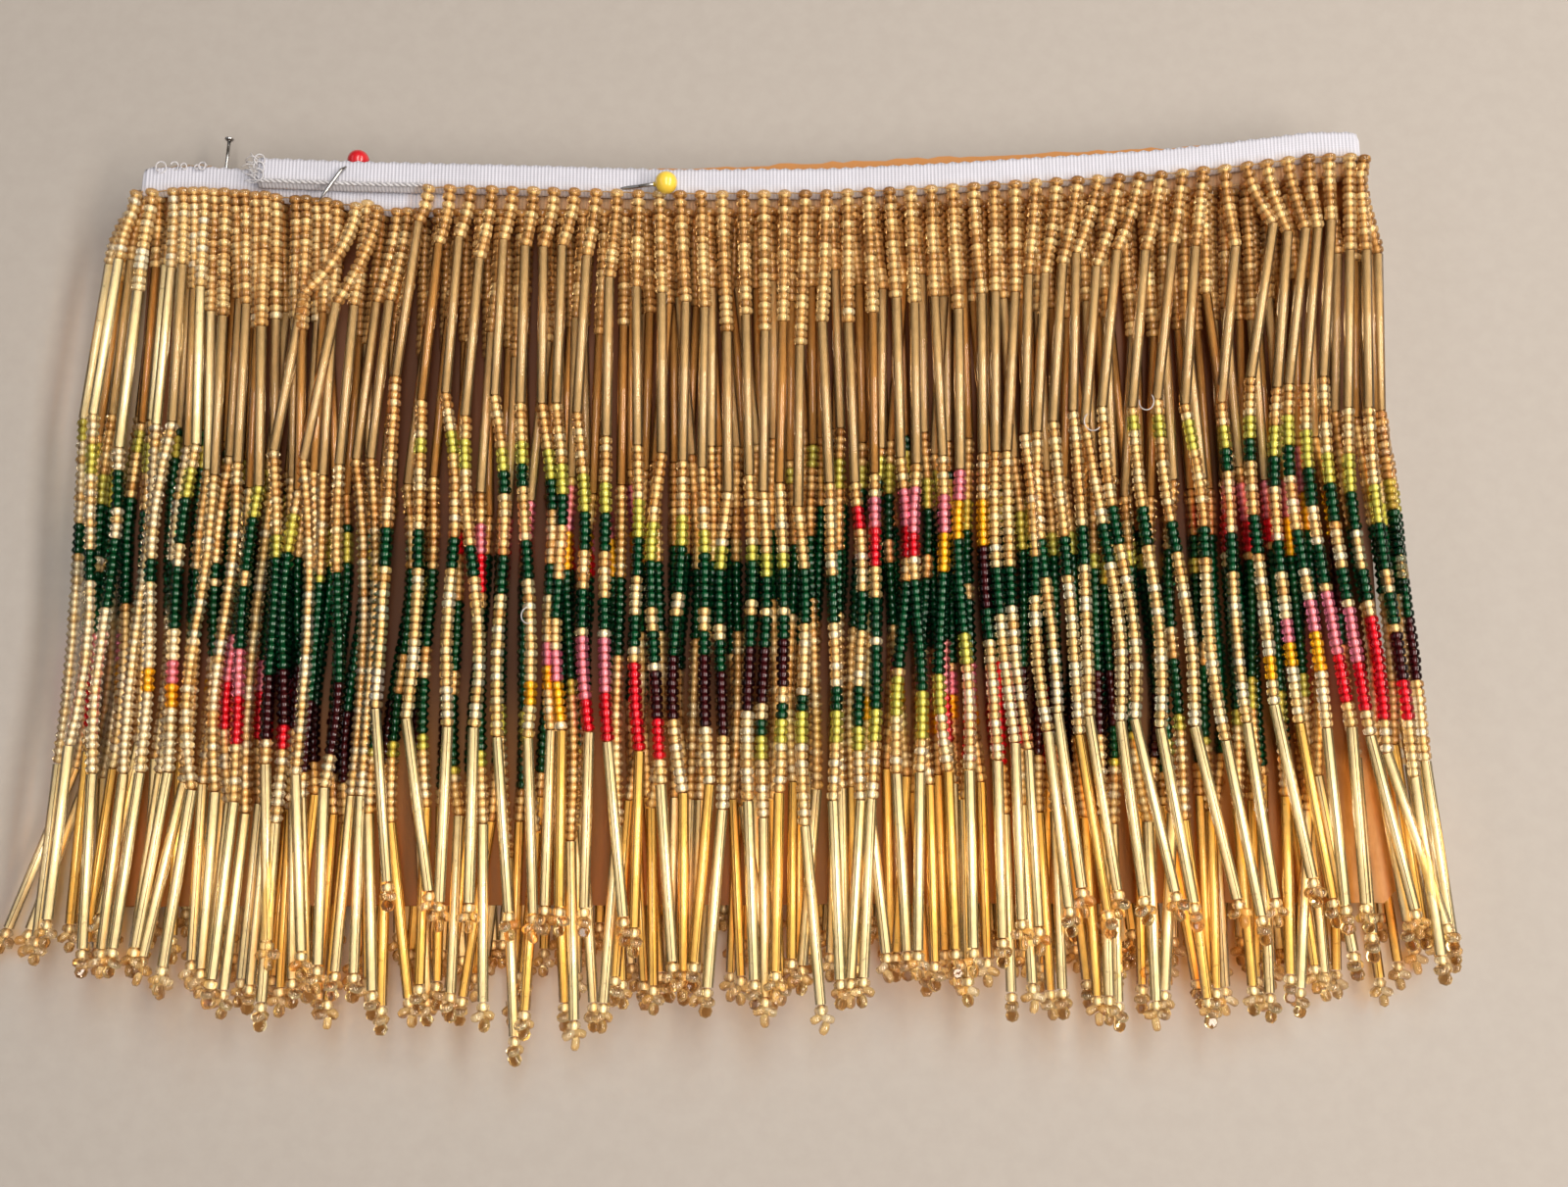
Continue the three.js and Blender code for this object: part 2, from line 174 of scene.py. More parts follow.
strays = {
    ("front_middle", 10): ((-8.6, -12.6, -11, -9), (13.5, 13.5, 13.5, 13.5)),
    ("front_middle", 11): ((-6.4, -11, -9.5, -7), (13.5, 13.5, 13.5, 13.5)),
    ("back_outer", 59): ((-1.6, -3.2, -3.6, -12.5), (1, 0.95, 0.95, 0.95)),
    ("back_outer", 60): ((-2, -3.8, -3.4, -13.4), (3.4, 3.2, 3.2, 2.9)),
}


def courseLength(course):
    return abs(course.end - course.start) + math.pi * course.r


# The point at distance d along a course, with its outward normal and the height of the tape's top edge.
def onCourse(course, d):
    run = abs(course.end - course.start)
    x = course.start + course.dir * min(d, run)
    top = lookUp(tapeTop[course.name], x)
    if d <= run:
        return Record(x=x, bodyX=x, z=course.z, normal=Vector((0, 0, course.dir)), top=top, onTurn=False)
    angle = (d - run) / course.r
    across = course.dir * math.sin(angle)
    up = course.dir * math.cos(angle)
    return Record(
        x=course.end + tape["tightness"] * course.r * across, bodyX=course.end + course.r * across,
        z=course.axis + course.r * up, normal=Vector((across, 0, tape["tightness"] * up)).normalized(),
        top=top, onTurn=True)


def layOut(course, index):
    name = course.name
    length = courseLength(course)
    count = math.floor(length / strand["pitch"])
    offset = sum(courseLength(c) for c in courses[:index])
    strands = []
    for slot in range(count):
        d = (slot + 0.5) * length / count
        at = onCourse(course, d)
        seed = 100 * index + slot
        phase = 2 * math.pi * (offset + d - 12) / strand["wave"]
        top = lookUp(topBeads[name], at.x) if name in topBeads else 14 - 5 * math.cos(phase)
        mid = lookUp(midBeads[name], at.x) if name in midBeads else 42 + 2.5 * math.cos(phase)
        dx = [turnFall[name][k] if at.onTurn else lookUp(fall[name], at.x, k + 1) + 0.9 * swing(seed, 3 + k)
              for k in range(4)]
        z = [strand["lowestBack"] if name == "back_outer" and not at.onTurn else at.z] * 4
        shifted = round(3.4 * swing(seed, 77)) if name in topBeads and not at.onTurn else 0
        stray = (name, slot) in strays
        if stray:
            dx, z = strays[(name, slot)]
        strands.append(Record(
            at=at, slot=slot, seed=seed, stray=stray, curls=course.curls,
            column=(slot + course.chartShift) % len(chart),
            topCount=math.floor(top + 1.8 * swing(seed, 1) + 0.5) + shifted,
            midCount=math.floor(mid + 3 * swing(seed, 2) + 0.5) - shifted,
            x=[at.bodyX + v for v in dx], z=list(z)))
    keepApart(flatOf(strands), course.dir, strand["closest"])
    return strands


def flatOf(strands):
    return [s for s in strands if not s.at.onTurn and not s.stray]


def keepApart(strands, direction, closest):
    for k in range(4):
        for again in range(40):
            for before, after in zip(strands, strands[1:]):
                gap = direction * (after.x[k] - before.x[k])
                if gap < closest:
                    push = direction * (closest - gap) / 2
                    after.x[k] += push
                    before.x[k] -= push


# The bends of one strand: root, a bend among the top beads, both ends of both bugles, the middle, and the tip.
def bendsOf(s):
    bugle, tip = strand["bugleLength"], strand["tipLength"]
    topLength = strand["beadPitch"] * s.topCount - 0.8
    midLength = strand["beadPitch"] * s.midCount
    root = s.at
    x1, x2, x3, x4 = s.x
    z1, z2, z3, z4 = s.z
    wide = (bugle + tip) / bugle
    share, rise = (0.2, 1) if s.stray else (0.38, 0.5)
    if not s.curls:
        share, rise = 0.5, 0.5
    if root.x < strand["leftEnd"] or root.x > strand["rightEnd"]:
        share = strand["endShare"]
    steps = [
        (root.x + share * (x1 - root.x), root.z + rise * (z1 - root.z), topLength / 2),
        (x1, z1, topLength / 2),
        (x2, z2, bugle),
        ((x2 + x3) / 2, (z2 + z3) / 2, midLength / 2),
        (x3, z3, midLength / 2),
        (x3 + wide * (x4 - x3), z3 + wide * (z4 - z3), bugle + tip),
    ]
    points = [Vector((root.x, root.top - tape["height"], root.z))]
    for x, z, length in steps:
        last = points[-1]
        across = math.hypot(x - last.x, z - last.z)
        points.append(Vector((x, last.y - math.sqrt(length ** 2 - across ** 2), z)))
    return points


# ---- the motif, feature by feature: its colour, its first strand in the repeat, and for each strand the first bead,
# counted from the tape, and how many there are

palette = ["crystal", "pale", "honey", "deep", "dim", "lime", "green", "rose", "red", "amber", "maroon"]
motif = [
    ("green", 0, [
        (46, 5), (46, 5), (47, 4), (48, 4), (48, 5), (48, 5), (51, 4), (51, 5), (52, 5), (55, 4), (56, 4),
        (57, 4), (57, 5), (58, 3), (58, 4), (57, 4), (56, 4), (57, 3)]),
    ("lime", 1, [
        (34, 2), (33, 3), (34, 4), (34, 3), (35, 3), (36, 4), (36, 4), (37, 5), (40, 4), (41, 5), (43, 5),
        (44, 4), (45, 3), (46, 3), (48, 2), (48, 3), (49, 2)]),
    ("green", 4, [
        (37, 3), (38, 3), (40, 4), (40, 4), (42, 5), (44, 5), (46, 5), (48, 6), (48, 6), (48, 7), (49, 7),
        (50, 5), (51, 4), (51, 5), (51, 7), (51, 6), (54, 5), (54, 5), (52, 11), (51, 14), (50, 13), (48, 12)]),
    ("amber", 5, [(66, 3), (64, 3), (64, 5)]),
    ("rose", 6, [(61, 3), (60, 4), (58, 8), (60, 7)]),
    ("red", 8, [(66, 6), (67, 6), (62, 13)]),
    ("maroon", 11, [(62, 6), (62, 8), (61, 9), (62, 8), (61, 8), (60, 7), (60, 6)]),
    ("red", 11, [(68, 5)]),
    ("green", 16, [(69, 2), (68, 2), (67, 2), (65, 3), (66, 5)]),
    ("lime", 16, [(71, 3), (70, 3), (69, 4), (68, 4), (71, 3), (68, 4), (64, 5), (65, 6), (63, 5), (60, 4)]),
    ("red", 20, [(43, 3), (45, 5), (45, 4), (45, 3)]),
    ("rose", 21, [(41, 4), (40, 5), (39, 6), (40, 5), (37, 6)]),
    ("green", 21, [(60, 8)]),
    ("amber", 24, [(45, 5), (43, 5), (42, 6)]),
    ("maroon", 26, [(48, 8)]),
    ("green", 26, [(56, 4)]),
    ("green", 27, [(50, 6), (50, 5), (49, 5), (49, 5), (49, 5), (48, 5), (47, 5)]),
]
repeat = 34
chart = [sorted((*runs[n - start], colour) for colour, start, runs in motif if start <= n < start + len(runs))
         for n in range(repeat)]


# in the courses beneath, green and maroon runs widen: painted shade
def chartColour(column, bead, wider):
    for first, count, colour in chart[column]:
        shadeExtra = wider if colour in ("green", "maroon") else 0
        if first - shadeExtra <= bead < first + count + shadeExtra:
            return colour


# A clear bead's shade: paler by the left turn and low down, deeper near the tape, and deeper in the courses beneath
# as painted shade.
def clearShade(x, bead, n, amberAndShadeDepth):
    paleness = hash01(n, 21) + (0.5 if x < -100 else 0) + (bead - 30) / 90 - amberAndShadeDepth
    for least, shade in ((1, "crystal"), (0.7, "pale"), (0.2, "honey"), (-0.15, "deep")):
        if paleness > least:
            return shade
    return "dim"


# ---- everything that is strung, as points with a direction

strung = {
    "topRadius": 1.27, "beadRadius": 1.18, "beadLength": 1.37, "roundness": 0.36,
    "ringSpread": 0.62, "roundPower": 3.0, "jointShadeFrom": 0.72, "bugleRadius": 0.96,
    "bugleLength": 29.8, "picotRadius": 1.2, "liningRadius": 0.38, "bugleLiningRadius": 0.44,
    "threadRadius": 0.06, "threadOffset": 0.44, "sway": 1.1, "slip": 2.4, "rootLift": 0.95,
    "rootTilt": (0.25, 0.2, 0.1),
    "looseness": (0.5, 1.4, 2.4, 6.0),
    "lift": 0.9, "closest": 1.8, "lowest": 1.5,
    # left of this the middle course lies open, with a more broken pattern, paler without the painted shade of the
    # courses beneath
    "openBelow": -62,
    # left of this half of the bugles are pale, in the glass and lining of painted light
    "paleBelow": -98,
}


def placeAbove(at):
    return place((at.x, at.y, max(at.z, strung["lowest"])))


def pointMesh(places, edges, attributes):
    mesh = bpy.data.meshes.new("points")
    mesh.from_pydata(places, edges, [])
    for name, kind, values in attributes:
        field = "vector" if kind == "FLOAT_VECTOR" else "value"
        mesh.attributes.new(name, kind, "POINT").data.foreach_set(field, values)
    return mesh


class Points:
    def __init__(self):
        self.rows = []

    def add(self, at, direction, tint, size=1.0):
        self.rows.append((placeAbove(at), direction.normalized(), tint, size))

    def mesh(self):
        places, directions, tints, sizes = zip(*self.rows)
        return pointMesh(places, [], [
            ("direction", "FLOAT_VECTOR", [c for v in directions for c in v]), ("tint", "INT", tints),
            ("size", "FLOAT", sizes), ("shade", "FLOAT", [hash01(n, 91) for n in range(len(sizes))]),
        ])


# A smooth run of beads from one place to another through a middle point.
def smoothRun(a, middle, b, count):
    control = 2 * middle - (a + b) / 2
    shares = [(i + 0.5) / count for i in range(count)]
    return [a * (1 - t) ** 2 + control * 2 * t * (1 - t) + b * t ** 2 for t in shares]


def ahead(places, i):
    return places[min(i + 1, len(places) - 1)] - places[max(i - 1, 0)]


def wobble(n, k, amount):
    return Vector((swing(n, k), 0, swing(n, k + 1))) * amount


def fromAngle(angle):
    return Vector((math.cos(angle), 0, math.sin(angle)))


def stringCourse(course, index):
    top, mid, bugles, threads, tips, linings = Points(), Points(), Points(), Points(), Points(), []
    for s in layouts[index]:
        root, bend, head1, foot1, middle, head2, end = bendsOf(s)
        n = 1000 * index + 7 * s.slot
        isOpen = index == 2 and root.x < strung["openBelow"]
        # the course's painted shade, slight where it lies open
        amberAndShadeDepth = 0.1 if isOpen else course.amber

        # top beads: the first two ride up on the tape's face
        start = root + Vector((0, 0.8, 0))
        places = smoothRun(start, bend.lerp((start + head1) / 2, 0.35), head1, s.topCount)
        lining = []
        for i, at in enumerate(places):
            lift = strung["rootLift"] * max(0.0, 1 - i / 2.2)
            lifted = at + s.at.normal * lift + wobble(n + i, 31, 0.1)
            shade = clearShade(at.x, i + 1, n + i, amberAndShadeDepth)
            top.add(lifted, ahead(places, i) - s.at.normal * strung["rootTilt"][min(i, 2)],
                    palette.index(shade), 0.94 + 0.12 * hash01(n + i, 33))
            if i % 2 == 0:
                lining.append((lifted, i + 0.5))
        linings.append(lining + [(head1, s.topCount)])

        # pattern beads between the bugles, with a slow sway that neighbours share
        sway = strung["sway"] * (math.sin(0.11 * root.x + 1.3 * index) + 1.2 * swing(n, 46))
        places = smoothRun(foot1, middle + Vector((sway, 0, 0)), head2, s.midCount)
        wave = strung["sway"] * 1.6 * swing(n, 47)
        places = [at + Vector((wave * math.sin(2 * math.pi * i / s.midCount), 0, 0)) for i, at in enumerate(places)]
        slip = round(strung["slip"] * swing(n, 48) * (3 if isOpen else 1))
        lining = [(foot1, 0)]
        for i, at in enumerate(places):
            bead = s.topCount + 21 + i
            colour = chartColour(s.column, bead + slip, course.wider)
            if isOpen and (bead < 50 and hash01(n, 98) < 0.6 or hash01(n, 99) < (0.25 if colour == "green" else 0.4)):
                colour = None
            colour = colour or clearShade(at.x, bead, n + 60 + i, amberAndShadeDepth)
            size = 0.93 + 0.13 * hash01(n + i, 45) + (0.07 if at.x < -60 else 0)
            at = at + wobble(n + i, 41, 0.12)
            mid.add(at, ahead(places, i) + wobble(n + i, 43, 0.35), palette.index(colour), size)
            if i % 2 == 1:
                lining.append((at, i + 0.5))
        linings.append(lining + [(head2, s.midCount)])

        # bugles: tint 0 above, in the glass and lining of painted shade, and 1 below, in those of painted light, with
        # 2 added in the deeper ambers
        foot2 = head2.lerp(end, strand["bugleLength"] / (end - head2).length)
        for k, (a, b) in enumerate(((head1, foot1), (head2, foot2))):
            tint = k + 2 if hash01(n, 55 + k) < amberAndShadeDepth else k
            if root.x < strung["paleBelow"] and hash01(n, 57) < 0.5:
                tint = 1
            bugles.add((a + b) / 2, b - a, tint, 0.95 + 0.09 * hash01(n, 51 + k))
        aside = fromAngle(math.pi * (0.15 + 0.7 * hash01(n, 54))) * strung["threadOffset"]
        threads.add((head2 + foot2) / 2 + aside, foot2 - head2, 0)

        # the picot at the tip: one bead in line, then three round the loop of thread
        down = (end - foot2).normalized()
        onFront = not s.stray and index % 2 == 0
        side = fromAngle(math.pi * hash01(n, 61) if onFront else 0.25 * swing(n, 61))
        side = (side - down * side.dot(down)).normalized()
        lean = 0.5 * swing(n, 62)
        picot = [
            (0.75, 0, down),
            (2.15, -1.0, down + side * 0.5),
            (2.25, 1.0, down - side * 0.5),
            (3.75, lean, side + down * lean),
        ]
        for k, (below, aside, direction) in enumerate(picot):
            tilt = Vector([swing(n + k, key) for key in (63, 64, 65)]) * 0.5
            tips.add(foot2 + down * below + side * aside, direction + tilt, k % 2, 0.95 + 0.12 * hash01(n + k, 66))
        linings.append([(foot2, 0), (foot2 + down * 1.4, 1)])
    return top, mid, bugles, threads, tips, linings


# Loosens a course: its strands lean, sink into the gaps of the course on top of it, and lie a little over each other.
def loosen(strands, course, over):
    for s in flatOf(strands):
        side = 1 if s.slot % 2 else -1
        for k, amount in enumerate(strung["looseness"]):
            s.x[k] += amount * (1.6 if k == 3 and s.at.x > 70 else 1) * swing(s.seed, 71 + k)
            if course.dir == 1:
                s.z[k] += strung["lift"] * side * (0.9, 0.6, 0.7, 1)[k] * hash01(s.seed, 76)
            xs = sorted(f.x[k] for f in over)
            for a, b in zip(xs, xs[1:]):
                if a <= s.x[k] <= b and b - a < 7:
                    s.x[k] += max(-1.3, min(1.3, 0.8 * ((a + b) / 2 - s.x[k])))
                    break
    keepApart(flatOf(strands), course.dir, strung["closest"])


# Strands of the middle course that lie on top, in the gaps of their neighbours, where the outer course has ended.
def addOnTop(strands, count, left, right, rise):
    flat = sorted((s for s in flatOf(strands) if left < s.at.x < right), key=lambda s: s.at.x)
    pairs = list(zip(flat, flat[1:]))
    for i in range(count):
        a, b = pairs[round(i * (len(pairs) - 1) / (count - 1))]
        seed = 7000 + i
        strands.append(Record(**{
            **vars(a),
            "at": Record(**{**vars(a.at), "x": (a.at.x + b.at.x) / 2}),
            "slot": 100 + i,
            "seed": seed,
            "topCount": a.topCount + round(3 * hash01(seed, 1) - 1),
            "x": [(p + q) / 2 + 0.8 * swing(seed, 5 + k) for k, (p, q) in enumerate(zip(a.x, b.x))],
            "z": [z + rise * (0.9 + 0.3 * hash01(seed, 2)) for z in a.z],
        }))


layouts = [layOut(course, index) for index, course in enumerate(courses)]
for index, over in enumerate(([], [], layouts[0], [], layouts[0] + layouts[2])):
    loosen(layouts[index], courses[index], over)
addOnTop(layouts[2], 9, -109, -60, 1.2)


# ---- node helpers

socketKinds = {type(None): "Geometry", int: "Int", float: "Float", 3: "Vector", 4: "Color"}


def newGroup(name, kind, inputs, outputs):
    tree = bpy.data.node_groups.new(name, kind)
    for label, value in inputs.items():
        key = len(value) if isinstance(value, tuple) else type(value)
        socket = tree.interface.new_socket(label, in_out="INPUT", socket_type="NodeSocket" + socketKinds[key])
        if value is not None:
            socket.default_value = value
    for label, socketKind in outputs.items():
        tree.interface.new_socket(label, in_out="OUTPUT", socket_type="NodeSocket" + socketKind)
    return Graph(tree), tree.nodes.new("NodeGroupInput").outputs, tree.nodes.new("NodeGroupOutput")


class Graph:
    def __init__(self, tree):
        self.tree = tree

    # Links or sets inputs, by name or number. A node given as a value stands for its first output.
    def feed(self, node, inputs):
        for key, value in inputs.items():
            socket = node.inputs[key]
            if isinstance(value, bpy.types.Node):
                value = value.outputs[0]
            if isinstance(value, bpy.types.NodeSocket):
                self.tree.links.new(value, socket)
            else:
                socket.default_value = (*value, 1) if socket.type == "RGBA" and len(value) == 3 else value
        return node

    def add(self, kind, inputs=None, **settings):
        node = self.tree.nodes.new(kind)
        for key, value in settings.items():
            setattr(node, key, value)
        return self.feed(node, inputs or {})

    def math(self, operation, *values):
        return self.add("ShaderNodeMath", dict(enumerate(values)), operation=operation)

    def times(self, a, b):
        return self.math("MULTIPLY", a, b)

    def mix(self, share, a, b, blend="MIX"):
        return self.add("ShaderNodeMix", {0: share, 6: a, 7: b}, data_type="RGBA", blend_type=blend).outputs[2]

    def ramp(self, value, low, high, kind="LINEAR"):
        return self.add("ShaderNodeMapRange", {"Value": value, "From Min": low, "From Max": high},
                        interpolation_type=kind)

    def attribute(self, name):
        return self.add("ShaderNodeAttribute", attribute_name=name).outputs["Fac"]

    def objectPlace(self):
        return self.add("ShaderNodeTexCoord").outputs["Object"]

    def bump(self, height, strength):
        return self.add("ShaderNodeBump", {"Height": height, "Strength": strength, "Distance": 0.0002})

    def group(self, tree, inputs):
        return self.add("ShaderNodeGroup", inputs, node_tree=tree)


# ---- pieces

def linked(name, data):
    piece = bpy.data.objects.new(name, data)
    bpy.context.scene.collection.objects.link(piece)
    return piece


def fit(piece, node):
    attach(piece, "root")
    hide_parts(node)


def plainMesh(name, source, tree, values):
    holder = linked(name, source)
    modifier = holder.modifiers.new(name, "NODES")
    modifier.node_group = tree
    for item in tree.interface.items_tree:
        if item.item_type == "SOCKET" and item.in_out == "INPUT" and item.name in values:
            modifier[item.identifier] = values[item.name]
    graph = bpy.context.evaluated_depsgraph_get()
    mesh = bpy.data.meshes.new_from_object(holder.evaluated_get(graph), preserve_all_data_layers=True,
                                           depsgraph=graph)
    mesh.name = name
    holder.modifiers.remove(modifier)
    holder.data = mesh
    bpy.data.meshes.remove(source)
    return holder


# Closes a run of rings into a tube with capped ends.
def tube(bm, rings):
    for a, b in zip(rings, rings[1:]):
        for k in range(len(a)):
            m = (k + 1) % len(a)
            bm.faces.new((a[k], a[m], b[m], b[k]))
    bm.faces.new(rings[0][::-1])
    bm.faces.new(rings[-1])


def pieceOf(name, bm, material, smooth=True):
    bmesh.ops.recalc_face_normals(bm, faces=bm.faces)
    mesh = bpy.data.meshes.new(name)
    bm.to_mesh(mesh)
    bm.free()
    if smooth:
        mesh.shade_smooth()
    mesh.materials.append(material)
    return linked(name, mesh)


# Wire, pin heads and thread. Each run is a list of (place, radius) in card millimetres, with its rings square to it.
def sweep(name, runs, sides, material):
    bm = bmesh.new()
    angles = [2 * math.pi * k / sides for k in range(sides)]
    for run in runs:
        points = [place(at) for at, radius in run]
        side = ahead(points, 0).normalized().orthogonal().normalized()
        rings = []
        for i, (at, radius) in enumerate(run):
            forward = ahead(points, i).normalized()
            side = (side - forward * side.dot(forward)).normalized()
            up = forward.cross(side)
            rings.append([bm.verts.new(points[i] + (side * math.cos(a) + up * math.sin(a)) * radius * mm)
                          for a in angles])
        tube(bm, rings)
    return pieceOf(name, bm, material)


# ---- shader groups and materials

def newMaterial(name):
    material = bpy.data.materials.new(name)
    material.use_nodes = True
    return material, Graph(material.node_tree), material.node_tree.nodes["Principled BSDF"]


def unevenGlassGroup():
    g, given, result = newGroup("uneven glass", "ShaderNodeTree", {"Grain per metre": 700.0, "Waviness": 0.3},
                                {"Normal": "Vector"})
    noise = g.add("ShaderNodeTexNoise", {"Vector": g.objectPlace(), "Scale": given["Grain per metre"], "Detail": 1.0})
    g.feed(result, {"Normal": g.bump(noise, given["Waviness"])})
    return g.tree


# Uneven colour and a fine grain, for anything that is drawn, spun, pressed or moulded.
def grainGroup():
    g, given, result = newGroup(
        "grain", "ShaderNodeTree",
        {"Color": (0.5, 0.5, 0.5, 1), "Shade": (0.3, 0.3, 0.3, 1), "Grain per metre": 900.0, "Stretch": (1, 1, 1),
         "Roughness": 0.6, "Roughness Spread": 0.15},
        {"Color": "Color", "Roughness": "Float", "Height": "Float"})
    drawn = g.add("ShaderNodeVectorMath", {0: g.objectPlace(), 1: given["Stretch"]}, operation="MULTIPLY")
    noise = g.add("ShaderNodeTexNoise",
                  {"Vector": drawn, "Scale": given["Grain per metre"], "Detail": 3.0, "Roughness": 0.6})
    uneven = g.times(g.math("SUBTRACT", noise, 0.5), given["Roughness Spread"])
    g.feed(result, {
        "Color": g.mix(g.ramp(noise, 0.35, 0.65), given["Shade"], given["Color"]),
        "Roughness": g.math("ADD", given["Roughness"], uneven),
        "Height": noise,
    })
    return g.tree


# A glass bead's colour: its own random shade of the tint, and painted shade darkening it towards the joints between
# beads.
def beadShadeGroup():
    g, given, result = newGroup(
        "bead shade", "ShaderNodeTree",
        {"Tint": (1, 1, 1, 1), "Joint": (0.5, 0.4, 0.3, 1), "Joint Shade Depth": 0.8, "Spread": 0.2}, {"Color": "Color"})
    worn = g.mix(g.times(given["Spread"], g.attribute("shade")), given["Tint"], given["Joint"], "MULTIPLY")
    paintedJointShade = g.times(g.attribute("end"), given["Joint Shade Depth"])
    g.feed(result, {"Color": g.mix(paintedJointShade, worn, given["Joint"], "MULTIPLY")})
    return g.tree


glassGroup = unevenGlassGroup()
grain = grainGroup()
shadeGroup = beadShadeGroup()
# the darker colour for each bead's random tone and for the painted shade at its joints
toneAndJointShade = (0.36, 0.22, 0.12)


def grainyMaterial(name, look):
    material, g, shader = newMaterial(name)
    worn = g.group(grain, {
        "Color": look["colour"], "Shade": look["shade"], "Grain per metre": look["grain"],
        "Stretch": look.get("stretch", (1, 1, 1)), "Roughness": look["roughness"],
    }).outputs
    bump = g.bump(worn["Height"], look["bump"])
    g.feed(shader, {
        "Metallic": look.get("metallic", 0.0), "Coat Weight": look.get("coat", 0.0),
        "Base Color": worn["Color"], "Roughness": worn["Roughness"], "Normal": bump,
    })
    return material, g, shader, worn, bump


# Tinted clear glass. Lamps shine on through it, so that what it covers is lit.
def glassMaterial(name, tint, lampTint, clear, roughness, waviness, jointShadeDepth):
    material, g, shader = newMaterial(name)
    g.feed(shader, {
        "Base Color": g.group(shadeGroup, {"Tint": tint, "Joint": toneAndJointShade, "Joint Shade Depth": jointShadeDepth}),
        "Roughness": roughness, "Transmission Weight": clear, "IOR": 1.5,
        "Normal": g.group(glassGroup, {"Waviness": waviness}),
    })
    lampsPass = g.add("ShaderNodeBsdfTransparent", {"Color": lampTint})
    shadow = g.add("ShaderNodeLightPath").outputs["Is Shadow Ray"]
    mixed = g.add("ShaderNodeMixShader", {0: shadow, 1: shader, 2: lampsPass})
    g.feed(g.tree.nodes["Material Output"], {"Surface": mixed})
    return material


# A lining. In the beads it darkens at each joint, along the attribute "bead": partly the break between one bead's
# lining and the next, partly painted shade between the beads.
def liningMaterial(name, colour, joint, metallic, roughness):
    material, g, shader, worn, bump = grainyMaterial(name, {
        "colour": colour, "shade": [0.86 * c for c in colour], "grain": 500.0, "metallic": metallic,
        "roughness": roughness, "bump": 0.1,
    })
    if joint:
        near = g.math("ABSOLUTE", g.math("SUBTRACT", g.math("FRACT", g.attribute("bead")), 0.5))
        edge = g.ramp(near, 0.33, 0.48, "SMOOTHSTEP")
        g.feed(shader, {"Base Color": g.mix(edge, worn["Color"], joint)})
    return material


# each glass: the tint seen, and the tint that lamps leave behind it
clearGlass = {
    "crystal": ((0.93, 0.89, 0.74), (0.78, 0.7, 0.52)),
    "pale": ((0.93, 0.82, 0.56), (0.74, 0.6, 0.36)),
    "honey": ((0.88, 0.68, 0.35), (0.66, 0.48, 0.25)),
    "deep": ((0.76, 0.5, 0.21), (0.54, 0.35, 0.16)),
    # dim: the darkest clear, mostly painted shade in the courses beneath
    "dim": ((0.56, 0.33, 0.12), (0.42, 0.25, 0.11)),
}
beadGlass = {
    **clearGlass,
    "lime": ((0.66, 0.66, 0.15), (0.6, 0.6, 0.22)),
    "green": ((0.001, 0.07, 0.027), (0.02, 0.14, 0.07)),
    "rose": ((0.8, 0.26, 0.4), (0.8, 0.4, 0.45)),
    "red": ((0.72, 0.008, 0.03), (0.75, 0.1, 0.12)),
    "amber": ((0.94, 0.52, 0.015), (0.85, 0.55, 0.1)),
    "maroon": ((0.035, 0.004, 0.008), (0.2, 0.05, 0.06)),
}
# the upper bugles are a copy of the glass in painted shade and the lower ones a copy in painted light; the amber and
# golden ones are real tones
bugleGlass = {
    "bugle in painted shade": ((0.86, 0.67, 0.4), (0.5, 0.33, 0.16)),
    "bugle in painted light": ((0.99, 0.91, 0.66), (0.94, 0.72, 0.34)),
    "amber bugle in painted shade": ((0.64, 0.37, 0.14), (0.46, 0.25, 0.09)),
    "golden bugle in painted light": ((0.98, 0.68, 0.22), (0.92, 0.6, 0.2)),
}
picotGlass = {
    "clear picot": ((0.96, 0.88, 0.64), (0.86, 0.72, 0.46)),
    "golden picot": ((0.93, 0.76, 0.4), (0.82, 0.6, 0.3)),
}
# the upper and lower bugle linings are copies of one lining in painted shade and in painted light
liningLooks = {
    "bead lining": ((0.84, 0.76, 0.6), (0.34, 0.2, 0.08), 0.2, 0.4),
    "lining in painted shade": ((0.66, 0.61, 0.5), None, 0.2, 0.5),
    "lining in painted light": ((1.0, 0.98, 0.94), None, 0.3, 0.3),
}


# ---- one tree strings every bead, bugle and picot on its points

